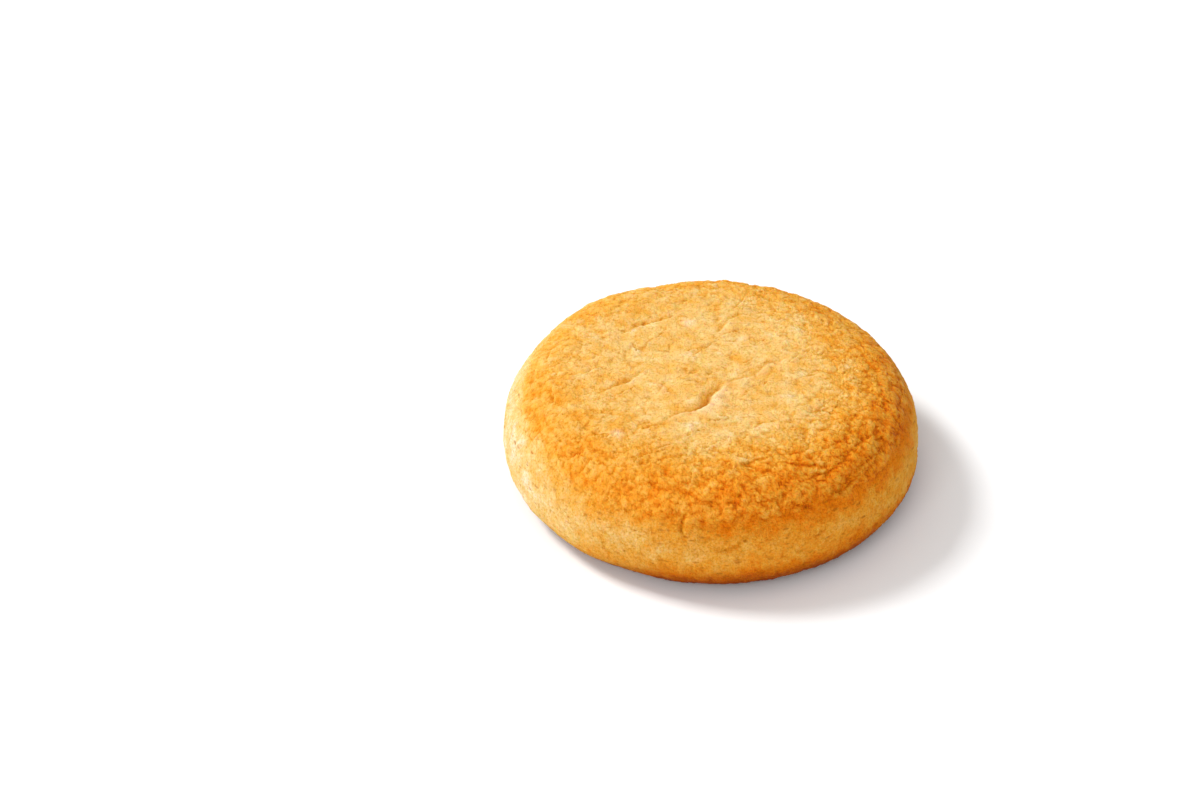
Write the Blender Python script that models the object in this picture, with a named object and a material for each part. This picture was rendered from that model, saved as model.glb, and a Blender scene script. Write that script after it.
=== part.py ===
# A round butter biscuit, one thick baked disc of short dough.
# Metres, +Z up. It stands on its flat underside, and the origin is that face's centre.
#
# The top is a square grid wrapped into a disc, so its cells stay about as long as they are
# wide. Its rim is then drawn down the wall, ring by ring, to the underside. Last, the relief
# of the crust moves each point along the surface's normal.

from bisect import bisect_left
from math import atan2, cos, dist, pi, radians, sin

import bmesh
import bpy
from mathutils import Vector, noise

MM = 0.001

# Driving dimensions
DIAMETER = 56 * MM
THICKNESS = 15.9 * MM
WIDEST_HEIGHT = 4.7 * MM
SHOULDER_WIDTH = 10.2 * MM
SHOULDER_SQUARENESS = 2.4  # exponent of the superellipse, 2 is a plain ellipse
FOOT_WIDTH = 4.7 * MM
FOOT_SQUARENESS = 1.8
DOME_RISE = 0.3 * MM

# The crust of the top reaches over the shoulder and ends in a low uneven ledge on the wall.
# Its edge is placed by the length along the surface from the middle of the top.
CRUST_REACH = 26.4 * MM
CRUST_SWAY = 1.2 * MM  # it hangs lower on one side and ends higher on the other
CRUST_LOW_SIDE = radians(-85)
CRUST_RAGGED = 0.9 * MM
LEDGE_LIP = 0.14 * MM
LEDGE_STEP = 0.24 * MM
LEDGE_FADE = 4.0 * MM

# Relief of the baked surface: (size of a bump, height)
SWELL = (9.0 * MM, 0.55 * MM)
LUMPS = (3.4 * MM, 0.80 * MM)
CRAGS = (2.2 * MM, 0.70 * MM)
FLAT_CALM = 0.40  # share of the crags that is left in the middle of the top
WALL_CALM = 0.30  # and on the wall below the crust
CALM_RADIUS = 14 * MM
ROUGH_RADIUS = 21 * MM
FOOT_FADE = 2.5 * MM

# Cracks: (depth, width, route). On the top a route is X and Y in mm.
TOP_CRACKS = (
    (0.95, 1.5, ((-3.4, -8.6), (-2.0, -7.8), (-1.0, -6.3), (-0.25, -5.0), (1.0, -3.25), (1.7, -2.8))),
    (0.45, 1.5, ((-6.6, -12.2), (-6.0, -10.2), (-5.0, -9.25), (-3.4, -8.6))),
    (0.50, 1.5, ((1.7, -2.8), (3.0, -2.0), (5.0, -1.25), (6.25, 0.25), (7.25, 1.5), (9.9, 2.6))),
    (0.65, 1.4, ((-15.0, -4.6), (-12.75, -3.0), (-11.25, -2.0), (-9.8, -0.6))),
    (0.45, 1.4, ((-8.6, -2.3), (-6.8, -3.0), (-6.0, -4.5), (-4.2, -6.3))),
    (0.65, 1.5, ((-10.3, 10.3), (-8.5, 11.4), (-6.0, 12.35))),
    (0.65, 1.5, ((1.8, 10.2), (2.75, 12.0), (4.4, 13.6))),
    (0.55, 1.5, ((2.2, -20.3), (4.5, -18.5), (6.0, -18.2))),
    (0.50, 1.5, ((7.6, -18.8), (10.8, -19.1), (15.3, -18.1))),
)
# On the wall a route is azimuth in degrees, from +X towards +Y, and height in mm.
WALL_CRACKS = (
    (0.60, 1.4, ((-99.4, 12.9), (-100.2, 11.7), (-100.5, 10.7), (-99.8, 9.8))),
    (0.40, 1.4, ((-90.0, 8.5), (-87.5, 7.9), (-84.5, 8.8), (-82.8, 9.4))),
)

# Mesh: rings of the top from its middle to its rim, then rings down the wall
TOP_RINGS = 27
TOP_REACH = 27.0 * MM
WALL_RINGS = 13
SECTION_STEPS = 400

# Finish of the baked dough
GOLDEN = (0.83, 0.46, 0.13, 1.0)
ROUGHNESS = 0.75


def section_outline():
    """Radius and height of the plain section, from the middle of the top to the underside."""
    radius = DIAMETER / 2
    flat_radius = radius - SHOULDER_WIDTH
    rise = THICKNESS - DOME_RISE - WIDEST_HEIGHT
    turns = [pi / 2 * i / SECTION_STEPS for i in range(SECTION_STEPS + 1)]
    top = [(flat_radius * i / SECTION_STEPS, THICKNESS - DOME_RISE * (i / SECTION_STEPS) ** 2)
           for i in range(SECTION_STEPS)]
    shoulder = [(flat_radius + SHOULDER_WIDTH * sin(t) ** (2 / SHOULDER_SQUARENESS),
                 WIDEST_HEIGHT + rise * cos(t) ** (2 / SHOULDER_SQUARENESS)) for t in turns]
    foot = [(radius - FOOT_WIDTH + FOOT_WIDTH * cos(t) ** (2 / FOOT_SQUARENESS),
             WIDEST_HEIGHT - WIDEST_HEIGHT * sin(t) ** (2 / FOOT_SQUARENESS)) for t in turns[1:]]
    foot[-1] = (foot[-1][0], 0.0)
    return top + shoulder + foot


OUTLINE = section_outline()
LENGTHS = [0.0]
for here, there in zip(OUTLINE, OUTLINE[1:]):
    LENGTHS.append(LENGTHS[-1] + dist(here, there))
WHOLE_LENGTH = LENGTHS[-1]


def on_section(length):
    """Radius and height at a length along the section."""
    i = min(max(bisect_left(LENGTHS, length), 1), len(LENGTHS) - 1)
    share = (length - LENGTHS[i - 1]) / (LENGTHS[i] - LENGTHS[i - 1])
    (r0, z0), (r1, z1) = OUTLINE[i - 1], OUTLINE[i]
    return r0 + (r1 - r0) * share, z0 + (z1 - z0) * share


def plain_point(length, azimuth):
    """Point of the plain form at a length along the section and an azimuth."""
    radius, height = on_section(length)
    return Vector((radius * cos(azimuth), radius * sin(azimuth), height))


def outward(length, azimuth):
    """Normal of the plain form at that place."""
    reach = 0.4 * MM
    r0, z0 = on_section(max(length - reach, 0.0))
    r1, z1 = on_section(min(length + reach, WHOLE_LENGTH))
    return Vector(((z0 - z1) * cos(azimuth), (z0 - z1) * sin(azimuth), r1 - r0)).normalized()


def smooth(low, high, value):
    """0 below low, 1 above high, and an even S between them."""
    share = min(max((value - low) / (high - low), 0.0), 1.0)
    return share * share * (3 - 2 * share)


def top_length(radius):
    """Length along the section at which the upper side has this radius."""
    widest = max(range(len(OUTLINE)), key=lambda i: OUTLINE[i][0])
    return LENGTHS[bisect_left([r for r, _ in OUTLINE[:widest]], radius)]


def wall_length(height):
    """Length along the section at which the wall has this height."""
    return LENGTHS[bisect_left([-z for _, z in OUTLINE], -height)]


def crack_routes():
    """Every crack as (depth, half its width, points on the plain form)."""
    routes = []
    for depth, width, route in TOP_CRACKS:
        points = [Vector((x * MM, y * MM, 0)) for x, y in route]
        points = [plain_point(top_length(p.length), atan2(p.y, p.x)) for p in points]
        routes.append((depth * MM, width * MM / 2, points))
    for depth, width, route in WALL_CRACKS:
        points = [plain_point(wall_length(z * MM), radians(a)) for a, z in route]
        routes.append((depth * MM, width * MM / 2, points))
    return routes


CRACKS = crack_routes()


def crack_depth(point):
    """How deep the cracks cut at a point of the plain form. They taper to their ends."""
    deepest = 0.0
    for depth, half_width, points in CRACKS:
        last = len(points) - 1
        for i in range(last):
            along = points[i + 1] - points[i]
            share = (point - points[i]).dot(along) / along.length_squared
            share = min(max(share, 0.0), 1.0)
            gap = (point - points[i] - along * share).length
            if gap < half_width:
                taper = 0.35 + 0.65 * sin(pi * (i + share) / last)
                deepest = max(deepest, depth * taper * (1 - (gap / half_width) ** 2))
    return deepest


def humps(point, size_and_height):
    """Round humps with creases between them, as dough swells, about zero on average."""
    size, height = size_and_height
    return height * (abs(noise.noise(point / size)) - 0.22)


def crust_edge(azimuth):
    """Length along the section at which the crust of the top ends."""
    wander = noise.noise(Vector((cos(azimuth), sin(azimuth), 3.7)) * 5)
    return CRUST_REACH + CRUST_SWAY * cos(azimuth - CRUST_LOW_SIDE) + CRUST_RAGGED * wander


def ledge(length, azimuth):
    """The crust's raised lip, and the step below it, which fades down the wall."""
    below = length - crust_edge(azimuth)
    lip = LEDGE_LIP * smooth(-2.5 * MM, -0.6 * MM, below) * (1 - smooth(-0.2 * MM, 0.6 * MM, below))
    step = LEDGE_STEP * smooth(-0.2 * MM, 0.9 * MM, below) * (1 - smooth(0.9 * MM, LEDGE_FADE, below))
    return lip - step


def relief(length, azimuth):
    """Height of the baked surface over the plain form."""
    point = plain_point(length, azimuth)
    on_crust = 1 - smooth(-0.2 * MM, 0.9 * MM, length - crust_edge(azimuth))
    rough = FLAT_CALM + (1 - FLAT_CALM) * smooth(CALM_RADIUS, ROUGH_RADIUS, point.xy.length)
    rough = WALL_CALM + (rough - WALL_CALM) * on_crust
    height = SWELL[1] * 0.5 * noise.noise(point / SWELL[0])
    height += rough * (humps(point, LUMPS) + humps(point, CRAGS))
    height += ledge(length, azimuth) - crack_depth(point)
    return height * smooth(0.0, FOOT_FADE, WHOLE_LENGTH - length)


def wrap_to_disc(u, v):
    """A square of +-1 wrapped to a disc: share of the radius, and azimuth."""
    if max(abs(u), abs(v)) < 1e-9:
        return 0.0, 0.0
    if abs(u) >= abs(v):
        return abs(u), pi / 4 * v / u + (0 if u > 0 else pi)
    return abs(v), pi / 2 - pi / 4 * u / v + (0 if v > 0 else pi)


def build_form():
    """The whole surface, with each point's place on it: {vertex: (length, azimuth)}."""
    form = bmesh.new()
    places = {}
    bmesh.ops.create_grid(form, x_segments=2 * TOP_RINGS, y_segments=2 * TOP_RINGS, size=1.0)
    for vertex in form.verts:
        share, azimuth = wrap_to_disc(vertex.co.x, vertex.co.y)
        places[vertex] = (share * TOP_REACH, azimuth)
        vertex.co = plain_point(*places[vertex])
    rim = [edge for edge in form.edges if edge.is_boundary]
    for ring in range(1, WALL_RINGS + 1):
        length = TOP_REACH + (WHOLE_LENGTH - TOP_REACH) * ring / WALL_RINGS
        drawn = bmesh.ops.extrude_edge_only(form, edges=rim)["geom"]
        for vertex in (part for part in drawn if isinstance(part, bmesh.types.BMVert)):
            azimuth = atan2(vertex.co.y, vertex.co.x)
            places[vertex] = (length, azimuth)
            vertex.co = plain_point(length, azimuth)
        rim = [part for part in drawn if isinstance(part, bmesh.types.BMEdge) and part.is_boundary]
    bmesh.ops.holes_fill(form, edges=rim)
    return form, places


def biscuit_mesh():
    """The form with its relief, closed, with every face pointing outwards."""
    form, places = build_form()
    for vertex, (length, azimuth) in places.items():
        raised = outward(length, azimuth) * relief(length, azimuth)
        vertex.co = plain_point(length, azimuth) + raised
    bmesh.ops.triangulate(form, faces=form.faces, quad_method="SHORT_EDGE", ngon_method="BEAUTY")
    bmesh.ops.recalc_face_normals(form, faces=form.faces)
    mesh = bpy.data.meshes.new("biscuit")
    form.to_mesh(mesh)
    form.free()
    mesh.shade_smooth()
    mesh.set_sharp_from_angle(angle=radians(60))
    return mesh


def baked_dough():
    """Matt golden crust."""
    material = bpy.data.materials.new("baked_dough")
    material.use_nodes = True
    shader = material.node_tree.nodes["Principled BSDF"]
    shader.inputs["Base Color"].default_value = GOLDEN
    shader.inputs["Roughness"].default_value = ROUGHNESS
    shader.inputs["Metallic"].default_value = 0.0
    return material


def main():
    for old in list(bpy.data.objects):
        bpy.data.objects.remove(old)
    collection = bpy.data.collections.new("butter_biscuit")
    bpy.context.scene.collection.children.link(collection)
    biscuit = bpy.data.objects.new("biscuit", biscuit_mesh())
    biscuit.data.materials.append(baked_dough())
    collection.objects.link(biscuit)


main()
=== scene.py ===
import math

import bpy
import numpy as np
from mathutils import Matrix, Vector, noise


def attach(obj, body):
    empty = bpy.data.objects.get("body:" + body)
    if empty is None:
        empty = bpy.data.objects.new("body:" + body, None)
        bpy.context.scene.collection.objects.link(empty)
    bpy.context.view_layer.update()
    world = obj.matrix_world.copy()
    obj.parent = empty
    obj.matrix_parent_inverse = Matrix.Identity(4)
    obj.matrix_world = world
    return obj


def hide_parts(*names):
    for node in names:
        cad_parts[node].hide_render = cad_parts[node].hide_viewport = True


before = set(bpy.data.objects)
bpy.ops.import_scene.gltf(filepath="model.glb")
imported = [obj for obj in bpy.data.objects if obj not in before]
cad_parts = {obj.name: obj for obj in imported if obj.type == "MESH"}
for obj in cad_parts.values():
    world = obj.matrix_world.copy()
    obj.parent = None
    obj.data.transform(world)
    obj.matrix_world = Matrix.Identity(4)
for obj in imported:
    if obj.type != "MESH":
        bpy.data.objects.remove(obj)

# A thick round butter biscuit on a pale table, seen from a little above. Lengths are in metres.
mm = 0.001
bendSeed = 4   # fixed, so that every run bends the noise in the same way
noise.seed_set(bendSeed)
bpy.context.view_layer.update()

# the plain form: a flat top, a superellipse shoulder and a small superellipse foot
form = {
    "radius": 28.0 * mm,
    "thickness": 15.9 * mm,
    "domeRise": 0.3 * mm,
    "widestHeight": 4.7 * mm,
    "shoulderWidth": 10.2 * mm,
    "shoulderSquareness": 2.4,
    "footWidth": 4.7 * mm,
    "footSquareness": 1.8,
    "heartRadius": 12.0 * mm,   # every point of the section is seen from here at an angle of its own
    "outlineSteps": 600,
    "cellsAcross": 176,   # cells across the flat top, which has four times as many points round it
    "rings": 96,          # rings from the edge of the flat top down to the underside
    "closeRings": 56,     # of these, rings down to the edge of the crust, which lie closer
    "closeTo": 28.2 * mm,
}


# the section: radius and height, step by step from the middle of the top to the underside
def sectionOutline():
    flatRadius = form["radius"] - form["shoulderWidth"]
    rise = form["thickness"] - form["domeRise"] - form["widestHeight"]
    turn = np.linspace(0, math.pi / 2, form["outlineSteps"])
    across = np.linspace(0, 1, form["outlineSteps"])[:-1]
    shoulderPower = 2 / form["shoulderSquareness"]
    footPower = 2 / form["footSquareness"]
    radius = np.concatenate([
        flatRadius * across,
        flatRadius + form["shoulderWidth"] * np.sin(turn) ** shoulderPower,
        form["radius"] - form["footWidth"] * (1 - np.cos(turn[1:]) ** footPower),
    ])
    height = np.concatenate([
        form["thickness"] - form["domeRise"] * across ** 2,
        form["widestHeight"] + rise * np.cos(turn) ** shoulderPower,
        form["widestHeight"] * (1 - np.sin(turn[1:]) ** footPower),
    ])
    return radius, height


outlineRadius, outlineHeight = sectionOutline()
outlineLength = np.concatenate([[0], np.cumsum(np.hypot(np.diff(outlineRadius), np.diff(outlineHeight)))])
wholeLength = outlineLength[-1]
outlineAngle = np.arctan2(outlineHeight - form["widestHeight"], outlineRadius - form["heartRadius"])


def plainPoints(length, azimuth):
    radius = np.interp(length, outlineLength, outlineRadius)
    height = np.interp(length, outlineLength, outlineHeight)
    return np.stack([radius * np.cos(azimuth), radius * np.sin(azimuth), height], -1)


def outwardNormals(length, azimuth, reach=0.4 * mm):
    before = plainPoints(np.maximum(length - reach, 0), 0 * azimuth)
    after = plainPoints(np.minimum(length + reach, wholeLength), 0 * azimuth)
    out = before[:, 2] - after[:, 2]
    up = after[:, 0] - before[:, 0]
    size = np.hypot(out, up)
    return np.stack([out * np.cos(azimuth), out * np.sin(azimuth), up], -1) / size[:, None]


# length along the section and azimuth of points that lie on the plain form
def placesOf(points):
    radius = np.hypot(points[:, 0], points[:, 1])
    angle = np.arctan2(points[:, 2] - form["widestHeight"], radius - form["heartRadius"])
    return np.interp(-angle, -outlineAngle, outlineLength), np.arctan2(points[:, 1], points[:, 0])


def smooth(low, high, value):
    share = np.clip((value - low) / (high - low), 0, 1)
    return share * share * (3 - 2 * share)


# noise is read at many points at once, with a shift where two patterns mustn't follow each other
noiseShifts = {"crust": 2.0, "cracks": 4.0, "scarps": 8.0}
cellSpread = 7.3   # cell centres are spread by this before each reads its random number


def noiseAt(points, size, shift=0.0):
    return np.array([noise.noise(p) for p in (points / size + shift).tolist()])


def wobbleAt(points, size):
    return np.array([list(noise.noise_vector(p)) for p in (points / size).tolist()])


# the points pushed about by noise of these sizes and reaches
def bentBy(points, bends):
    bent = points
    for size, reach in bends:
        bent = bent + reach * wobbleAt(points, size)
    return bent


# distance to the nearest cell centre, and a random number from -1 to 1 for each cell
def cellsAt(points, size):
    near, tint = [], []
    for p in (points / size).tolist():
        distances, centres = noise.voronoi(p)
        near.append(distances[0])
        tint.append(noise.cell(centres[0] * cellSpread))
    return np.array(near), np.array(tint)


# the crust of the top hangs over the shoulder and ends in a ragged ledge
crust = {
    "reach": 26.4 * mm,            # along the surface, from the middle of the top
    "sway": 1.2 * mm,
    "lowSide": math.radians(-85),
    "ragged": (0.2, 0.9 * mm),     # size on a circle of radius 1, and reach
    "slice": 3.7,                  # where the noise is read, so that the edge runs as in the solid
    "frayed": (1.2 * mm, 0.7 * mm),   # finer, also size and reach
    "ends": (-0.2 * mm, 0.9 * mm),    # lengths below the edge, as in the next four pairs
    "toneEnds": (-1.5 * mm, 1.5 * mm),
    "lip": 0.05 * mm,
    "lipRises": (-2.5 * mm, -0.6 * mm),
    "lipFalls": (-0.2 * mm, 0.6 * mm),
    "step": 0.09 * mm,
    "stepFades": (0.9 * mm, 4.0 * mm),
}


# length along the section at which the crust ends
def crustEdge(azimuth):
    size, reach = crust["ragged"]
    ring = np.stack([np.cos(azimuth), np.sin(azimuth), crust["slice"] + 0 * azimuth], -1)
    return crust["reach"] + crust["sway"] * np.cos(azimuth - crust["lowSide"]) + reach * noiseAt(ring, size)


# the crust's raised lip, and the step below it, which fades down the wall
def ledgeOver(below):
    lip = crust["lip"] * smooth(*crust["lipRises"], below) * (1 - smooth(*crust["lipFalls"], below))
    step = crust["step"] * smooth(*crust["ends"], below) * (1 - smooth(*crust["stepFades"], below))
    return lip - step


# relief: the size of a bump and its height
relief = {
    "swell": (9.0 * mm, 0.40 * mm),
    "lumps": (2.9 * mm, 0.34 * mm),
    "crags": (1.6 * mm, 0.24 * mm),
    "knobs": (0.95 * mm, 0.17 * mm),
    "grit": (0.58 * mm, 0.10 * mm),
    "folds": (22.0 * mm, 4.4 * mm, 2.0 * mm, 0.24 * mm),   # radius they run at, length, width and height
    "knobMiddle": 0.22,               # squared distance from a bump's centre at which it crosses the form
    "knobHeights": (0.65, 0.55),      # middle and spread
    "wideBend": (3.0 * mm, 0.9 * mm),
    "closeBend": (1.6 * mm, 0.30 * mm),
    "foldBend": (1.0, 0.3),
    # share of lumps and crags, of knobs and of grit on the flat top, on its rim and on the wall
    "topShares": (0.42, 0.48, 0.70),
    "rimShares": (0.64, 0.76, 0.95),
    "wallShares": (0.34, 0.42, 0.95),
    "roughens": (9.0 * mm, 21.0 * mm),   # radius at which the rim's roughness starts, and where it is full
    "roughSide": math.radians(-35),
    "roughSway": 0.32,
    "footFade": 2.5 * mm,
    "hollowRounds": 10,   # smoothing rounds that tell a hollow from what is round it
    "hollowDepth": 0.08 * mm,
    "calmHollows": 0.35,  # how much the painted shade of the hollows shows away from the rim
}


# round tops, each of a height of its own
def knobs(near, tint, height):
    middle, spread = relief["knobHeights"]
    return height * 2 * (relief["knobMiddle"] - near ** 2) * (middle + spread * tint)


# lumps, crags, knobs and grit, and the folds that run round the rim
def lumpsOver(points, length, azimuth, onCrust, rough):
    coarse, medium, fine = [wall + onCrust * (top + rough * (rim - top) - wall) for top, rim, wall
                            in zip(relief["topShares"], relief["rimShares"], relief["wallShares"])]
    wide = bentBy(points, [relief["wideBend"]])
    close = bentBy(points, [relief["closeBend"]])
    height, tints = np.zeros(len(points)), {}
    for name, share, spots in (("lumps", coarse, wide), ("crags", coarse, wide), ("knobs", medium, close),
                               ("grit", fine, close)):
        size, rise = relief[name]
        near, tints[name] = cellsAt(spots, size)
        height += share * knobs(near, tints[name], rise)
    radius, along, across, rise = relief["folds"]
    turns = radius / along
    circle = np.stack([np.cos(azimuth) * turns, np.sin(azimuth) * turns, length / across], -1)
    height += rough * onCrust * knobs(*cellsAt(bentBy(circle, [relief["foldBend"]]), 1.0), rise)
    return height, tints["knobs"]


# soft plates on the top, longer one way, each a little higher or lower than the next
plates = {
    "size": 5.0 * mm,
    "turn": ((0.82, -0.57, 0), (0.57, 0.82, 0), (0, 0, 1)),
    "stretch": (0.55, 1, 1),
    "bends": [(2.5 * mm, 0.8 * mm), (0.8 * mm, 0.25 * mm)],
    "step": 0.10 * mm,
    "blend": 0.60 * mm,       # how far from its edge a plate starts to blend into the next
    "blendPower": 0.7,
    "wallShare": 0.35,
    "rimLoss": 0.6,
    "scarp": 0.22 * mm,       # at the edges of the plates: sunk on the left, raised on the right
    "scarpLow": 1.20 * mm,
    "scarpLowPower": 1.5,
    "scarpHigh": 0.90 * mm,
    "scarpBreaks": 1.8 * mm,
    "scarpLimits": (-0.15, 0.30),   # noise below the first has no scarp, and above the second all of it
    "scarpRimLoss": 0.85,
    "creaseWidth": 0.45 * mm,
}


# a level between -1 and 1 for each plate, blended over the edge to the next plate, how far the edge lies,
# and how much the next plate lies to the right, from -1 to 1
def platesAt(points):
    levels, edges, leans = [], [], []
    for p in (points / plates["size"]).tolist():
        distances, centres = noise.voronoi(p)
        edge = (distances[1] - distances[0]) * plates["size"]
        share = 0.5 + 0.5 * min(edge / plates["blend"], 1) ** plates["blendPower"]
        own, other = [noise.cell(centre * cellSpread) for centre in centres[:2]]
        levels.append(share * own + (1 - share) * other)
        edges.append(edge)
        leans.append(-(centres[1] - centres[0]).normalized().y)
    return np.array(levels), np.array(edges), np.array(leans)


def platesOver(points, onCrust, rough):
    turned = points @ np.array(plates["turn"]) * plates["stretch"]
    for size, reach in plates["bends"]:
        turned = turned + reach * wobbleAt(points, size)
    levels, edges, leans = platesAt(turned)
    share = plates["wallShare"] + (1 - plates["wallShare"]) * onCrust
    height = plates["step"] * levels * share * (1 - plates["rimLoss"] * rough)
    kept = smooth(*plates["scarpLimits"], noiseAt(points, plates["scarpBreaks"], noiseShifts["scarps"]))
    scarp = kept * onCrust * (1 - plates["scarpRimLoss"] * rough)
    lowSide = np.clip(leans, 0, 1) * scarp
    highSide = np.clip(-leans, 0, 1) * scarp
    sunk = lowSide * np.clip(1 - edges / plates["scarpLow"], 0, 1) ** plates["scarpLowPower"]
    raised = highSide * np.clip(1 - edges / plates["scarpHigh"], 0, 1)
    height += plates["scarp"] * (raised - sunk)
    # the creases on the low side of the scarps, which the material darkens as painted shade
    return height, lowSide * np.clip(1 - edges / plates["creaseWidth"], 0, 1)


# pores, wider than they are high on the wall
pores = {
    "spacing": 1.5 * mm,
    "stretch": (1, 1, 1.8),
    "radii": (0.04 * mm, 0.28 * mm),   # the least, and how much more the widest has
    "leastTint": 0.15,                 # cells whose random number is lower have none
    "depth": 0.16 * mm,
    "crustLoss": 0.8,
}


def poresOver(points):
    near, tint = cellsAt(points * pores["stretch"], pores["spacing"])
    least, more = pores["radii"]
    radius = np.clip(tint, 0, 1) * more + least
    return np.clip(1 - (near * pores["spacing"] / radius) ** 2, 0, 1) * (tint > pores["leastTint"])


# cracks: depth and width in mm, then the route
topCracks = [   # the route is X and Y in mm
    (0.60, 1.70, [(-3.4, -8.9), (-2.1, -8.4), (-1.2, -7.4), (-0.5, -6.0), (0.1, -4.6), (1.3, -3.0)]),
    (0.24, 0.90, [(-6.8, -11.6), (-6.0, -10.4), (-5.0, -9.5), (-3.4, -8.9)]),
    (0.24, 0.90, [(1.3, -3.0), (3.0, -2.0), (5.0, -1.25), (6.25, 0.25), (7.25, 1.5), (9.9, 2.6)]),
    (0.44, 0.90, [(-15.0, -4.6), (-12.75, -3.0), (-11.25, -2.0), (-9.3, -0.2)]),
    (0.20, 0.60, [(-8.6, -2.3), (-6.8, -3.0), (-6.0, -4.5), (-4.2, -6.3)]),
    (0.46, 0.95, [(-11.3, 9.6), (-10.3, 10.3), (-8.5, 11.4), (-6.0, 12.35)]),
    (0.42, 0.90, [(1.2, 9.2), (1.8, 10.2), (2.75, 12.0), (4.4, 13.6)]),
    (0.22, 0.60, [(0.4, 7.4), (1.9, 6.9), (3.9, 7.0)]),
    (0.32, 0.90, [(6.0, -18.2), (4.5, -18.5), (2.2, -20.3)]),
    (0.30, 1.00, [(15.3, -18.1), (10.8, -19.1), (7.6, -18.8)]),
    (0.22, 0.60, [(8.2, -12.8), (6.8, -12.9), (5.7, -13.3)]),
]
wallCracks = [   # the route is azimuth in degrees and height in mm
    (0.48, 0.72, [(-99.4, 13.1), (-100.2, 11.7), (-100.5, 10.4), (-99.8, 9.2)]),
    (0.50, 0.74, [(-91.0, 8.3), (-87.5, 7.9), (-84.5, 8.8), (-82.3, 9.6)]),
    (0.42, 0.66, [(-63.8, 7.9), (-60.2, 8.8)]),
]
cracks = {
    "bends": [(1.7 * mm, 0.34 * mm), (0.7 * mm, 0.16 * mm)],
    "breaks": (1.5 * mm, 0.85, 0.8),   # size, middle depth and how much it changes along the crack
    "breakLimits": (0.4, 1.1),
    "whole": 1.5,                      # the least share that a break leaves, for each mm of depth
    "endDepth": 0.25,
    "reaches": (1.15, 0.70),           # shares of half the width: even, and more to the left
    "shadePower": 1.3,
    "shadeSide": (0.7, 0.1),           # the painted shade lies on the left, with a little on the right
    "lip": 0.26,                       # height, as a share of the depth
    "lipReaches": (0.5, 3.4),          # shares of half the width: where it has risen, and where it ends
    "lipFallPower": 1.5,
    "lipSidePower": 0.5,
    "lipsEnd": (9.0 * mm, 14.0 * mm),  # radii between which the lips die out
}


def crackRoutes():
    routes = []
    upper = np.argmax(outlineRadius)
    for depth, width, route in topCracks:
        spots = np.array(route) * mm
        length = np.interp(np.hypot(*spots.T), outlineRadius[:upper], outlineLength[:upper])
        azimuth = np.arctan2(spots[:, 1], spots[:, 0])
        routes.append((depth * mm, width * mm / 2, plainPoints(length, azimuth)))
    for depth, width, route in wallCracks:
        spots = np.array(route)
        length = np.interp(-spots[:, 1] * mm, -outlineHeight, outlineLength)
        routes.append((depth * mm, width * mm / 2, plainPoints(length, np.radians(spots[:, 0]))))
    return routes


# a crack slopes gently down from the left of its route and is steep on the right, up to a raised lip
def crackCut(points):
    cut, edge, shade = np.zeros((3, len(points)))
    size, middle, change = cracks["breaks"]
    broken = middle + change * noiseAt(points, size, noiseShifts["cracks"])
    broken = np.clip(broken, *cracks["breakLimits"])
    even, leftMore = cracks["reaches"]
    sideLimit, leastShade = cracks["shadeSide"]
    points = bentBy(points, cracks["bends"])
    for depth, halfWidth, route in crackRoutes():
        last = len(route) - 1
        crest, outside = [share * halfWidth for share in cracks["lipReaches"]]
        for i in range(last):
            along = route[i + 1] - route[i]
            rightWay = np.array([along[1], -along[0], 0]) / np.hypot(along[0], along[1])
            share = np.clip((points - route[i]) @ along / (along @ along), 0, 1)
            away = points - route[i] - share[:, None] * along
            gap = np.linalg.norm(away, axis=1)
            right = away @ rightWay / np.maximum(gap, 1e-9)
            taper = cracks["endDepth"] + (1 - cracks["endDepth"]) * np.sin(math.pi * (i + share) / last)
            taper = taper * np.maximum(broken, cracks["whole"] * depth / mm)
            near = np.clip(1 - gap / (halfWidth * (even - leftMore * right)), 0, 1)
            # painted shade, mostly on the gentle left slope
            dark = near ** cracks["shadePower"] * np.clip(sideLimit - right, leastShade, 1)
            fall = np.clip(1 - gap / outside, 0, 1) ** cracks["lipFallPower"]
            lip = np.clip(gap / crest, 0, 1) * fall * np.clip(right, 0, 1) ** cracks["lipSidePower"]
            cut = np.maximum(cut, depth * taper * near)
            shade = np.maximum(shade, depth / mm * taper * dark)
            edge = np.maximum(edge, cracks["lip"] * depth * taper * lip)
    return cut, edge, shade


# how much the pores, cracks and creases show in the colour: darker pores, partly painted shade in them, and
# painted shade in cracks and creases; and the painted highlight on the cracks' raised lips
markings = {
    "pores": 0.8,
    "poreCrustLoss": 0.7,
    "cracks": 2.0,
    "creases": 0.6,
    "crackShade": 2.4,
    "creaseShade": 0.55,
    "fullLip": 0.10 * mm,   # a lip this high gets the palest painted highlight
    "lipHighlight": 0.9,
}


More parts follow.
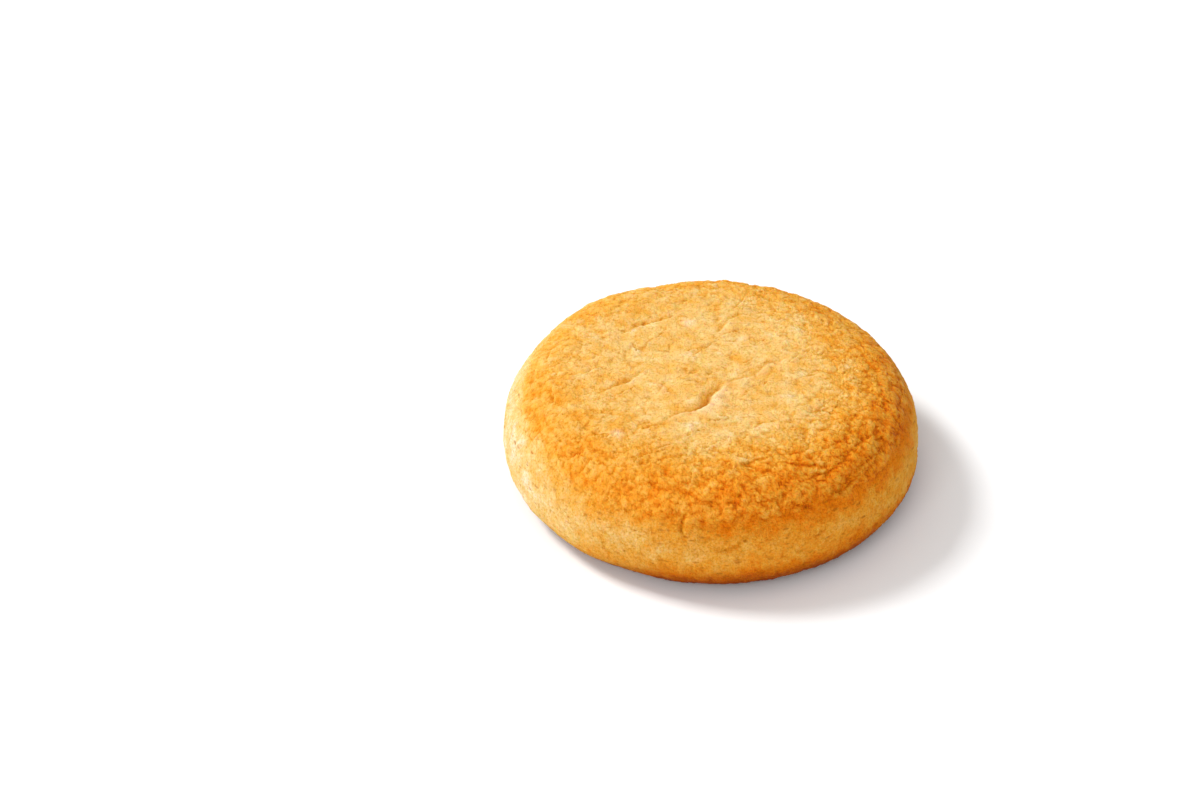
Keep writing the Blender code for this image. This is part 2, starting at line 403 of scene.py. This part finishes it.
# height of the baked surface over the plain form, and the marks that the material reads
def reliefOver(length, azimuth):
    points = plainPoints(length, azimuth)
    radius = np.hypot(points[:, 0], points[:, 1])
    size, reach = crust["frayed"]
    below = length - crustEdge(azimuth) + reach * noiseAt(points, size, noiseShifts["crust"])
    onCrust = 1 - smooth(*crust["ends"], below)
    side = 1 - relief["roughSway"] * (1 - np.cos(azimuth - relief["roughSide"]))
    rough = side * smooth(*relief["roughens"], radius)

    size, rise = relief["swell"]
    lumps, tint = lumpsOver(points, length, azimuth, onCrust, rough)
    steps, creases = platesOver(points, onCrust, rough)
    pore = poresOver(points)
    cut, edge, shade = crackCut(points)
    edge *= 1 - smooth(*cracks["lipsEnd"], radius)
    height = rise * 0.5 * noiseAt(points, size) + lumps + steps + ledgeOver(below) - cut + edge
    height -= pores["depth"] * pore * (1 - pores["crustLoss"] * onCrust)
    fade = smooth(0, relief["footFade"], wholeLength - length)

    # the pores darker, partly as painted shade in them, and painted shade in cracks and creases
    pits = markings["pores"] * pore * (1 - markings["poreCrustLoss"] * onCrust)
    pits += markings["cracks"] * shade ** 2 + markings["creases"] * creases
    marks = {
        "crust": 1 - smooth(*crust["toneEnds"], below),
        "rim": rough * onCrust,
        "tint": tint * 0.5 + 0.5,
        "pits": np.clip(pits, 0, 1) * fade,
        "shade": markings["crackShade"] * (shade + markings["creaseShade"] * creases),
        # painted highlight on the cracks' raised lips
        "lipHighlights": markings["lipHighlight"] * np.clip(edge / markings["fullLip"] * onCrust, 0, 1),
    }
    return height * fade, marks


# pale spots on the top; the first is a painted highlight
paleMark = {
    "places": [(-12.7, -13.3, 0.9), (-2.9, 11.2, 1.1), (4.3, 7.6, 0.8)],   # X, Y and radius in mm
    "ragged": (0.6 * mm, 0.35 * mm),
    "softness": 1.3,
}


def paleMarksAt(points):
    pale = np.zeros(len(points))
    size, reach = paleMark["ragged"]
    for x, y, radius in paleMark["places"]:
        gap = np.hypot(points[:, 0] - x * mm, points[:, 1] - y * mm) + reach * noiseAt(points, size)
        pale = np.maximum(pale, 1 - smooth(0, paleMark["softness"] * radius * mm, gap))
    return pale * (points[:, 2] > form["widestHeight"])


def coordinatesOf(mesh):
    flat = np.empty(len(mesh.vertices) * 3, np.float32)
    mesh.vertices.foreach_get("co", flat)
    return flat.reshape(-1, 3).astype(float)


def edgeEndsOf(mesh):
    ends = np.empty(len(mesh.edges) * 2, np.int32)
    mesh.edges.foreach_get("vertices", ends)
    return ends.reshape(-1, 2)


def writeAttribute(mesh, name, values):
    attribute = mesh.attributes.new(name, "FLOAT", "POINT")
    attribute.data.foreach_set("value", values.astype(np.float32))


# selects these points and the edges between them, from object mode
def selectOnly(mesh, wanted):
    mesh.vertices.foreach_set("select", wanted)
    mesh.edges.foreach_set("select", wanted[edgeEndsOf(mesh)].all(1))
    mesh.polygons.foreach_set("select", np.zeros(len(mesh.polygons), bool))


# how far each point lies under the smoothed surface round it
def hollowsOf(mesh, height):
    one, other = edgeEndsOf(mesh).T
    count = np.bincount(one, minlength=len(height)) + np.bincount(other, minlength=len(height))
    even = height.copy()
    for _ in range(relief["hollowRounds"]):
        total = np.bincount(one, even[other], len(height)) + np.bincount(other, even[one], len(height))
        even = total / count
    return (even - height) / relief["hollowDepth"]


# the plain biscuit: a ring drawn out over the shoulder and down the wall, with top and underside filled in
def drawForm():
    ringPoints = 4 * form["cellsAcross"]
    start = form["radius"] - form["shoulderWidth"]
    top = form["thickness"] - form["domeRise"]
    upper = form["outlineSteps"]
    startLength = np.interp(start, outlineRadius[:upper], outlineLength[:upper])
    steps = [0, form["closeRings"], form["rings"]]
    lengths = np.interp(np.arange(form["rings"] + 1), steps, [startLength, form["closeTo"], wholeLength])
    radii = np.interp(lengths, outlineLength, outlineRadius)
    heights = np.interp(lengths, outlineLength, outlineHeight)

    bpy.ops.object.select_all(action="DESELECT")
    bpy.ops.mesh.primitive_circle_add(vertices=ringPoints, radius=start, fill_type="NOTHING",
                                      location=(0, 0, top))
    piece = bpy.context.object
    piece.name = "bakedBiscuit"
    bpy.ops.object.transform_apply(location=True)
    bpy.ops.object.mode_set(mode="EDIT")
    for i in range(form["rings"]):
        fall = heights[i + 1] - heights[i]
        grow = radii[i + 1] / radii[i]
        bpy.ops.mesh.extrude_edges_move(TRANSFORM_OT_translate={"value": (0, 0, fall)})
        bpy.ops.transform.resize(value=(grow, grow, 1), center_override=(0, 0, 0))
    bpy.ops.mesh.edge_face_add()
    bpy.ops.object.mode_set(mode="OBJECT")
    selectOnly(piece.data, np.arange(len(piece.data.vertices)) < ringPoints)
    bpy.ops.object.mode_set(mode="EDIT")
    bpy.ops.mesh.select_mode(type="EDGE")
    bpy.ops.mesh.fill_grid(span=form["cellsAcross"])
    bpy.ops.mesh.select_mode(type="VERT")
    bpy.ops.mesh.select_all(action="SELECT")
    bpy.ops.mesh.normals_make_consistent(inside=False)
    bpy.ops.object.mode_set(mode="OBJECT")
    print("form drawn,", len(piece.data.vertices), "points")
    return piece


# moves each point out by the relief, and leaves the marks on the mesh for the material
def layRelief(mesh):
    length, azimuth = placesOf(coordinatesOf(mesh))
    height, marks = reliefOver(length, azimuth)
    points = plainPoints(length, azimuth) + outwardNormals(length, azimuth) * height[:, None]
    mesh.vertices.foreach_set("co", points.astype(np.float32).ravel())
    mesh.update()
    calm = relief["calmHollows"]
    # painted shade in hollows, cracks and creases, and painted light on the tops of bumps; the material
    # lays it on as browning and as shade
    hollow = np.clip(hollowsOf(mesh, height), -1, 1) * (calm + (1 - calm) * marks["rim"]) + marks["shade"]
    for name in ("crust", "rim", "tint", "pits"):
        writeAttribute(mesh, name, marks[name])
    writeAttribute(mesh, "hollow", hollow)
    writeAttribute(mesh, "pale", np.maximum(paleMarksAt(points), marks["lipHighlights"]))
    print("relief laid on, from", round(height.min() / mm, 2), "to", round(height.max() / mm, 2), "mm")


# node helpers: a value is either a socket to link or a number or colour to set
def addNode(tree, kind, inputs=None, **settings):
    node = tree.nodes.new(kind)
    for name, value in settings.items():
        setattr(node, name, value)
    for key, value in (inputs or {}).items():
        if isinstance(value, bpy.types.NodeSocket):
            tree.links.new(value, node.inputs[key])
        else:
            node.inputs[key].default_value = value
    return node


def maths(tree, operation, *values, clamp=False):
    node = addNode(tree, "ShaderNodeMath", dict(enumerate(values)), operation=operation, use_clamp=clamp)
    return node.outputs[0]


def vectorMaths(tree, operation, *values):
    node = addNode(tree, "ShaderNodeVectorMath", dict(enumerate(values)), operation=operation)
    return node.outputs["Value" if operation in ("LENGTH", "DOT_PRODUCT") else "Vector"]


def mapped(tree, value, low, high, toLow=0.0, toHigh=1.0):
    limits = {"Value": value, "From Min": low, "From Max": high, "To Min": toLow, "To Max": toHigh}
    return addNode(tree, "ShaderNodeMapRange", limits, interpolation_type="SMOOTHSTEP").outputs["Result"]


def mixed(tree, share, first, second, blend="MIX"):
    inputs = {0: share, 6: first, 7: second}   # the factor and the two colours
    return addNode(tree, "ShaderNodeMix", inputs, data_type="RGBA", blend_type=blend).outputs[2]


def cloud(tree, place, size, detail=2.0, roughness=0.5):
    inputs = {"Vector": place, "Scale": 1 / size, "Detail": detail, "Roughness": roughness}
    return addNode(tree, "ShaderNodeTexNoise", inputs).outputs["Fac"]


# a cloud about zero
def unevenness(tree, place, size):
    return maths(tree, "SUBTRACT", cloud(tree, place, size), 0.5)


# the place pushed about by noise of these sizes and reaches
def bentPlace(tree, place, bends):
    bent = place
    for size, reach in bends:
        push = addNode(tree, "ShaderNodeTexNoise", {"Vector": place, "Scale": 1 / size, "Detail": 1.0})
        bent = vectorMaths(tree, "MULTIPLY_ADD", push.outputs["Color"], (reach,) * 3, bent)
    return bent


def cellPattern(tree, place, scale, feature="F1"):
    return addNode(tree, "ShaderNodeTexVoronoi", {"Vector": place, "Scale": scale}, feature=feature).outputs


# from 1 at no distance to 0 at this reach
def nearness(tree, distance, reach):
    return maths(tree, "SUBTRACT", 1.0, maths(tree, "DIVIDE", distance, reach), clamp=True)


# a node group, whose inputs are numbers with a first value, or vectors with none
def newGroup(name, inputs, outputs, outputKind="NodeSocketFloat"):
    group = bpy.data.node_groups.new(name, "ShaderNodeTree")
    for label, value in inputs.items():
        inputKind = "NodeSocketVector" if value is None else "NodeSocketFloat"
        socket = group.interface.new_socket(name=label, in_out="INPUT", socket_type=inputKind)
        if value is not None:
            socket.default_value = value
    for label in outputs:
        group.interface.new_socket(name=label, in_out="OUTPUT", socket_type=outputKind)
    return group, group.nodes.new("NodeGroupInput").outputs, group.nodes.new("NodeGroupOutput").inputs


def fromSrgb(red, green, blue):
    linear = [((c / 255 + 0.055) / 1.055) ** 2.4 if c > 10 else c / 255 / 12.92 for c in (red, green, blue)]
    return (*linear, 1.0)


# how far each place is baked, from 0, pale dough, to 1, brown; painted shade at the foot and in hollows is
# laid on as more brown, and painted light on the tops of bumps as less
baking = {
    "brownSide": math.radians(-45),
    "middle": 18 * mm,            # inside this radius the sides count less
    "topMiddle": 0.335,
    "rimBand": (13.3 * mm, 24.5 * mm),
    "rimDrift": (4.5 * mm, 8 * mm),   # size and reach
    "rimGain": (0.26, 0.13),      # even all round, and more towards the brown side
    "wallMiddle": (0.37, 0.25),
    "leastTurned": -0.30,         # how little the side away from the brown one counts
    "paleSide": math.radians(193),
    "paleGain": 0.12,
    "palePower": 4.0,
    # a darker band on the wall just under the crust's ledge, more on the brown side
    "ledgeBand": (8.0 * mm, 12.5 * mm),
    "ledgeGain": 0.28,
    "ledgeSides": (0.5, 0.5),
    "footSides": (0.0, 0.60, 0.25, 1.0),   # the foot's painted shade and brown: from the first facing to the second, from this share to that
    # more brown towards the foot: partly its own browning, partly painted shade where the wall turns under
    "footBand": (7.0 * mm, 1.5 * mm),
    "footGain": 0.38,
    "footTops": (2.6 * mm, 3.6 * mm),      # height of its painted shade, and more on the brown side
    "footFull": 1.0 * mm,
    "footShades": (0.60, 0.40),
    "underside": 0.80,
    "undersideBand": (1.4 * mm, 0.3 * mm),
    "wallSpecks": [(0.9 * mm, 0.12), (0.3 * mm, 0.40)],   # size and gain, here and below
    "patches": [(7 * mm, 0.30), (2.2 * mm, 0.48)],
    "specks": (0.32 * mm, 3.0, 0.47),      # size, detail and the level above which they show
    "speckShade": 2.8,
    "tintGain": 0.08,
    # painted shade in hollows, and painted light on bump tops, laid on as browning and as a darker multiply
    "hollowGain": 0.11,
    "hollowShade": 0.40,
}


def wayTo(side, size=1.0):
    return (size * math.cos(side), size * math.sin(side), 0)


# a value that is even all round, and grows by more towards the brown side
def bySide(tree, facing, evenAndMore):
    even, more = evenAndMore
    return maths(tree, "MULTIPLY_ADD", facing, more, even)


def topBrowning(tree, place, radius, facing):
    size, reach = baking["rimDrift"]
    drifted = maths(tree, "MULTIPLY_ADD", unevenness(tree, place, size), reach, radius)
    rim = mapped(tree, drifted, *baking["rimBand"])
    return maths(tree, "MULTIPLY_ADD", rim, bySide(tree, facing, baking["rimGain"]), baking["topMiddle"])


def wallBrowningAndShade(tree, place, flat, z, facing, footSide):
    turned = maths(tree, "MAXIMUM", facing, baking["leastTurned"])
    wall = bySide(tree, turned, baking["wallMiddle"])
    left = vectorMaths(tree, "DOT_PRODUCT", flat, wayTo(baking["paleSide"], 1 / form["radius"]))
    left = maths(tree, "POWER", maths(tree, "MAXIMUM", left, 0.0), baking["palePower"])
    wall = maths(tree, "MULTIPLY_ADD", left, -baking["paleGain"], wall)
    for size, gain in baking["wallSpecks"]:
        wall = maths(tree, "MULTIPLY_ADD", unevenness(tree, place, size), gain, wall)
    ledge = mapped(tree, z, *baking["ledgeBand"], 0.0, baking["ledgeGain"])
    wall = maths(tree, "MULTIPLY_ADD", ledge, bySide(tree, facing, baking["ledgeSides"]), wall)
    # more brown towards the foot, partly painted shade where the wall turns under
    foot = mapped(tree, z, *baking["footBand"], 0.0, baking["footGain"])
    return maths(tree, "MULTIPLY_ADD", foot, footSide, wall)


def browningAndShadeGroup():
    inputs = {"Place": None, "Crust": 1.0, "Hollow": 0.0, "Tint": 0.5}
    group, given, result = newGroup("browningAndShadeByPlace", inputs, ["BrowningAndShade", "Shade", "FootShade"])
    place = given["Place"]
    x, y, z = addNode(group, "ShaderNodeSeparateXYZ", {0: place}).outputs
    flat = addNode(group, "ShaderNodeCombineXYZ", {0: x, 1: y, 2: 0.0}).outputs[0]
    radius = vectorMaths(group, "LENGTH", flat)
    reach = vectorMaths(group, "DOT_PRODUCT", flat, wayTo(baking["brownSide"]))
    facing = maths(group, "DIVIDE", reach, maths(group, "MAXIMUM", radius, baking["middle"]))
    footSide = mapped(group, facing, *baking["footSides"])

    top = topBrowning(group, place, radius, facing)
    wall = wallBrowningAndShade(group, place, flat, z, facing, footSide)
    browningAndShade = maths(group, "MULTIPLY_ADD", maths(group, "SUBTRACT", top, wall), given["Crust"], wall)
    base = maths(group, "SUBTRACT", baking["underside"], browningAndShade)
    browningAndShade = maths(group, "MULTIPLY_ADD", base, mapped(group, z, *baking["undersideBand"]), browningAndShade)
    for size, gain in baking["patches"]:
        browningAndShade = maths(group, "MULTIPLY_ADD", unevenness(group, place, size), gain, browningAndShade)
    tint = maths(group, "MULTIPLY", maths(group, "SUBTRACT", given["Tint"], 0.5), given["Crust"])
    browningAndShade = maths(group, "MULTIPLY_ADD", tint, baking["tintGain"], browningAndShade)
    # painted shade in hollows as more brown, and painted light on bump tops as less
    browningAndShade = maths(group, "MULTIPLY_ADD", given["Hollow"], baking["hollowGain"], browningAndShade, clamp=True)
    group.links.new(browningAndShade, result["BrowningAndShade"])

    # painted shade: the hollows' share, and fine dark specks
    size, detail, level = baking["specks"]
    speck = maths(group, "MAXIMUM", cloud(group, place, size, detail), level)
    speck = maths(group, "MULTIPLY", maths(group, "SUBTRACT", speck, level), baking["speckShade"])
    shade = maths(group, "MULTIPLY_ADD", given["Hollow"], baking["hollowShade"], speck, clamp=True)
    group.links.new(shade, result["Shade"])

    # painted shade where the wall turns under, higher and darker on the brown side
    footTop = bySide(group, footSide, baking["footTops"])
    foot = mapped(group, z, footTop, baking["footFull"])
    foot = maths(group, "MULTIPLY", foot, bySide(group, footSide, baking["footShades"]))
    group.links.new(foot, result["FootShade"])
    return group


# the colours as bare surface colours in sRGB: the dough's own, and the painted shade, pit, highlight, foot
# and edge colours laid over it
colours = {
    "dough": [   # from pale to brown
        (0.00, (246, 228, 194)),
        (0.25, (242, 202, 128)),
        (0.45, (239, 178, 81)),
        (0.62, (237, 159, 45)),
        (0.80, (236, 131, 5)),
        (1.00, (206, 98, 2)),
    ],
    "shade": (0.73, 0.54, 0.11, 1),   # not in sRGB: what full painted shade leaves of red, green and blue
    # pores, pinholes and hair cracks, partly painted shade in them, and painted shade in cracks and creases
    "pit": (182, 98, 8),
    "pitShare": 0.88,
    # painted highlight on the cracks' raised lips, and pale spots
    "paleMark": (255, 234, 196),
    "paleMarkShare": 0.5,
    # painted shade where the wall turns under
    "foot": (168, 140, 112),
    # a darker band low on the wall, as deep as the foot's painted shade
    "edge": (176, 148, 124),
    "edgeTop": (2.3 * mm, 1.2 * mm),
    "edgeBottom": (0.2 * mm, 0.9 * mm),
}


def colourGroup():
    inputs = {"BrowningAndShade": 0.4, "Pits": 0.0, "Pale": 0.0, "Shade": 0.0, "FootShade": 0.0, "Place": None}
    group, given, result = newGroup("bakedColours", inputs, ["Colour"], "NodeSocketColor")
    ramp = addNode(group, "ShaderNodeValToRGB", {0: given["BrowningAndShade"]})
    stops = ramp.color_ramp.elements
    while len(stops) < len(colours["dough"]):
        stops.new(0.5)
    for stop, (place, colour) in zip(stops, colours["dough"]):
        stop.position = place
        stop.color = fromSrgb(*colour)
    pit = maths(group, "MULTIPLY", given["Pits"], colours["pitShare"])
    pale = maths(group, "MULTIPLY", given["Pale"], colours["paleMarkShare"])
    z = addNode(group, "ShaderNodeSeparateXYZ", {0: given["Place"]}).outputs[2]
    edge = mapped(group, z, *colours["edgeTop"])
    edge = maths(group, "MULTIPLY", edge, mapped(group, z, *colours["edgeBottom"]))
    edge = maths(group, "MULTIPLY", edge, given["FootShade"])
    # painted shade, pits, painted highlights and the foot's painted shade laid over the dough's colour
    colour = mixed(group, given["Shade"], ramp.outputs["Color"], colours["shade"], "MULTIPLY")
    colour = mixed(group, pit, colour, fromSrgb(*colours["pit"]))
    colour = mixed(group, pale, colour, fromSrgb(*colours["paleMark"]))
    colour = mixed(group, given["FootShade"], colour, fromSrgb(*colours["foot"]), "MULTIPLY")
    colour = mixed(group, edge, colour, fromSrgb(*colours["edge"]), "MULTIPLY")
    group.links.new(colour, result["Colour"])
    return group


# pinholes: a few cells of the pattern hold one, wider than it is high on the wall
pinholes = {
    "stretch": (0.8, 0.8, 2.0),
    "bends": [(0.4 * mm, 0.35 * mm)],
    "full": 0.8,
}


def pinholeGroup():
    inputs = {"Place": None, "Spacing": 1.0 * mm, "Radius": 0.25, "Share": 0.5}
    group, given, result = newGroup("pinholes", inputs, ["Mask"])
    flat = vectorMaths(group, "MULTIPLY", given["Place"], pinholes["stretch"])
    scale = maths(group, "DIVIDE", 1.0, given["Spacing"])
    cells = cellPattern(group, bentPlace(group, flat, pinholes["bends"]), scale)
    draw, width, strength = addNode(group, "ShaderNodeSeparateColor", {0: cells["Color"]}).outputs
    within = nearness(group, cells["Distance"], maths(group, "MULTIPLY", given["Radius"], width))
    chosen = maths(group, "LESS_THAN", draw, given["Share"])
    mask = mapped(group, within, 0.0, pinholes["full"])
    mask = maths(group, "MULTIPLY", mask, maths(group, "MULTIPLY", chosen, strength))
    group.links.new(mask, result["Mask"])
    return group


# hair cracks: the borders of warped cells, broken up along their length
hairs = {
    "bends": [(2.2 * mm, 1.6 * mm), (0.6 * mm, 0.6 * mm)],
    "stretch": (0.75, 1.1, 1.6),
    "breakSize": 0.9 * mm,
    "breakBand": (0.50, 0.62),
}


def hairGroup():
    inputs = {"Place": None, "Size": 3.0 * mm, "Width": 0.05}
    group, given, result = newGroup("hairCracks", inputs, ["Mask"])
    bent = bentPlace(group, given["Place"], hairs["bends"])
    long = vectorMaths(group, "MULTIPLY", bent, hairs["stretch"])
    scale = maths(group, "DIVIDE", 1.0, given["Size"])
    cells = cellPattern(group, long, scale, "DISTANCE_TO_EDGE")
    near = nearness(group, cells["Distance"], given["Width"])
    broken = mapped(group, cloud(group, given["Place"], hairs["breakSize"], 1.0), *hairs["breakBand"])
    group.links.new(maths(group, "MULTIPLY", near, broken), result["Mask"])
    return group


# fine crumb: a height for the bump, the gaps between crumbs, and a roughness that changes over the surface
crumb = {
    "soft": (0.54, 1.1),              # level above which it is cut flat, and share in the height
    "sand": (0.17 * mm, 0.56, 0.95),  # size, then the same two
    "beadSize": 0.5 * mm,
    "beadShares": (0.1, 0.9),         # everywhere, and more on the rim
    "gapSize": 0.85 * mm,
    "gapBends": [(0.9 * mm, 0.7 * mm)],
    "gapWidth": 0.11,
    "gapBreaks": (0.8 * mm, 0.44, 0.54),
    "gapDepth": 0.32,
    "patchSize": 1.6 * mm,
    "patchBand": (0.35, 0.65, 0.66, 0.82),   # from this noise to that, from this roughness to that
    "rimSmoother": 0.16,
}


def crumbGroup():
    inputs = {"Place": None, "Size": 0.4 * mm, "Rim": 0.0}
    group, given, result = newGroup("fineCrumb", inputs, ["Height", "Roughness", "Gaps"])
    place, rim = given["Place"], given["Rim"]
    scale = maths(group, "DIVIDE", 1.0, given["Size"])
    inputs = {"Vector": place, "Scale": scale, "Detail": 4.0, "Roughness": 0.6}
    soft = addNode(group, "ShaderNodeTexNoise", inputs).outputs["Fac"]
    beads = cellPattern(group, place, 1 / crumb["beadSize"])
    domes = maths(group, "SUBTRACT", 0.5, maths(group, "POWER", beads["Distance"], 2.0))
    even, more = crumb["beadShares"]
    height = maths(group, "MULTIPLY", domes, maths(group, "MULTIPLY_ADD", rim, more, even))
    level, share = crumb["soft"]
    height = maths(group, "MULTIPLY_ADD", maths(group, "MINIMUM", soft, level), share, height)
    size, level, share = crumb["sand"]
    sand = maths(group, "MINIMUM", cloud(group, place, size), level)
    height = maths(group, "MULTIPLY_ADD", sand, share, height)

    bent = bentPlace(group, place, crumb["gapBends"])
    borders = cellPattern(group, bent, 1 / crumb["gapSize"], "DISTANCE_TO_EDGE")
    size, least, full = crumb["gapBreaks"]
    gaps = mapped(group, borders["Distance"], crumb["gapWidth"], 0.0)
    gaps = maths(group, "MULTIPLY", gaps, mapped(group, cloud(group, place, size, 1.0), least, full))
    gaps = maths(group, "MULTIPLY", gaps, rim)
    group.links.new(gaps, result["Gaps"])
    group.links.new(maths(group, "MULTIPLY_ADD", gaps, -crumb["gapDepth"], height), result["Height"])

    rough = mapped(group, cloud(group, place, crumb["patchSize"]), *crumb["patchBand"])
    rough = maths(group, "MULTIPLY_ADD", rim, -crumb["rimSmoother"], rough)
    group.links.new(rough, result["Roughness"])
    return group


# the finish of the baked dough. Shares are for the wall, and how much more the crust has.
dough = {
    "crumbSize": 0.34 * mm,
    "crumbShares": (1.5, -0.5),
    "bumpHeight": 0.22 * mm,
    "gapHollow": 0.9,                  # how much the gaps between crumbs count as hollows, for painted shade
    "pinholes": {"Spacing": 0.85 * mm, "Radius": 0.70, "Share": 0.58},
    "pinholeShares": (1.0, -0.75),
    "hairs": {"Size": 3.4 * mm, "Width": 0.045},
    "hairShares": (0.28, 0.20),
    "holeDepth": 0.05,
    "specular": 0.06,
    "glow": 0.5,                       # light that goes into the dough and comes out near by
    "glowDepth": 1.0 * mm,
    "glowReaches": (1.0, 0.22, 0.08),
}


def makeDough():
    material = bpy.data.materials.new("goldenDough")
    material.use_nodes = True
    tree = material.node_tree
    shader = tree.nodes["Principled BSDF"]
    place = addNode(tree, "ShaderNodeTexCoord").outputs["Object"]
    marks = {mark: addNode(tree, "ShaderNodeAttribute", attribute_name=mark).outputs["Fac"]
             for mark in ("crust", "tint", "pits", "hollow", "pale", "rim")}

    def placed(group, inputs):
        return addNode(tree, "ShaderNodeGroup", {"Place": place, **inputs}, node_tree=group).outputs

    def byCrust(value, wallAndMore):
        wall, more = wallAndMore
        return maths(tree, "MULTIPLY", value, maths(tree, "MULTIPLY_ADD", marks["crust"], more, wall))

    fine = placed(crumbGroup(), {"Size": dough["crumbSize"], "Rim": marks["rim"]})
    # painted shade in the gaps between crumbs joins that of the hollows
    hollow = maths(tree, "MULTIPLY_ADD", fine["Gaps"], dough["gapHollow"], marks["hollow"])
    baked = placed(browningAndShadeGroup(), {"Crust": marks["crust"], "Hollow": hollow, "Tint": marks["tint"]})
    pins = byCrust(placed(pinholeGroup(), dough["pinholes"])["Mask"], dough["pinholeShares"])
    thin = byCrust(placed(hairGroup(), dough["hairs"])["Mask"], dough["hairShares"])
    # pinholes and hair cracks take the pit colour, partly as painted shade in them
    hole = maths(tree, "MAXIMUM", pins, thin)
    pits = maths(tree, "MAXIMUM", marks["pits"], hole)
    seen = {name: baked[name] for name in ("BrowningAndShade", "Shade", "FootShade")}
    colour = placed(colourGroup(), {**seen, "Pits": pits, "Pale": marks["pale"]})
    height = byCrust(fine["Height"], dough["crumbShares"])
    height = maths(tree, "MULTIPLY_ADD", hole, -dough["holeDepth"], height)
    bump = addNode(tree, "ShaderNodeBump",
                   {"Height": height, "Strength": 1.0, "Distance": dough["bumpHeight"]})
    tree.links.new(colour["Colour"], shader.inputs["Base Color"])
    tree.links.new(fine["Roughness"], shader.inputs["Roughness"])
    tree.links.new(bump.outputs["Normal"], shader.inputs["Normal"])
    shader.inputs["Specular IOR Level"].default_value = dough["specular"]
    shader.inputs["Subsurface Weight"].default_value = dough["glow"]
    shader.inputs["Subsurface Radius"].default_value = dough["glowReaches"]
    shader.inputs["Subsurface Scale"].default_value = dough["glowDepth"]
    print("dough mixed")
    return material


def makeBiscuit():
    piece = drawForm()
    layRelief(piece.data)
    bpy.ops.object.shade_smooth()
    piece.data.materials.append(makeDough())
    return piece


biscuit = makeBiscuit()
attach(biscuit, "root")
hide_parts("biscuit")


# the table, the light and the camera
studio = {
    "floorSize": 4.0,
    "floorColour": (0.92, 0.92, 0.92, 1),
    "floorRoughness": 0.9,
    "sky": 0.60,
    "lights": [
        # name, place, size, watts
        ("windowLight", (-1.15, 0.55, 1.30), 0.50, 26.4),
        ("roomLight", (-0.45, -1.05, 0.75), 0.80, 6.6),
    ],
    "cameraPlace": (-14.94 * mm, -267.4 * mm, 210.9 * mm),
    "cameraTilt": math.radians(53.216),
    "cameraLens": 74.73,
    "cameraNearest": 0.01,
}


def makeStudio():
    bpy.ops.mesh.primitive_plane_add(size=studio["floorSize"], location=(0, 0, 0))
    floor = bpy.context.object
    floor.name = "paleTable"
    paint = bpy.data.materials.new("palePaint")
    paint.use_nodes = True
    paint.node_tree.nodes["Principled BSDF"].inputs["Base Color"].default_value = studio["floorColour"]
    paint.node_tree.nodes["Principled BSDF"].inputs["Roughness"].default_value = studio["floorRoughness"]
    floor.data.materials.append(paint)
    world = bpy.data.worlds.new("studioSky")
    world.use_nodes = True
    world.node_tree.nodes["Background"].inputs["Strength"].default_value = studio["sky"]
    world.node_tree.nodes["Background"].inputs["Color"].default_value = (1, 1, 1, 1)
    bpy.context.scene.world = world
    for name, place, size, watts in studio["lights"]:
        aim = (-Vector(place)).to_track_quat("-Z", "Y").to_euler()
        bpy.ops.object.light_add(type="AREA", location=place, rotation=aim)
        light = bpy.context.object
        light.name = name
        light.data.size = size
        light.data.energy = watts
    bpy.ops.object.camera_add(location=studio["cameraPlace"], rotation=(studio["cameraTilt"], 0, 0))
    camera = bpy.context.object
    camera.data.lens = studio["cameraLens"]
    camera.data.clip_start = studio["cameraNearest"]
    bpy.context.scene.camera = camera
    bpy.context.scene.view_settings.view_transform = "Standard"
    print("studio set")


makeStudio()
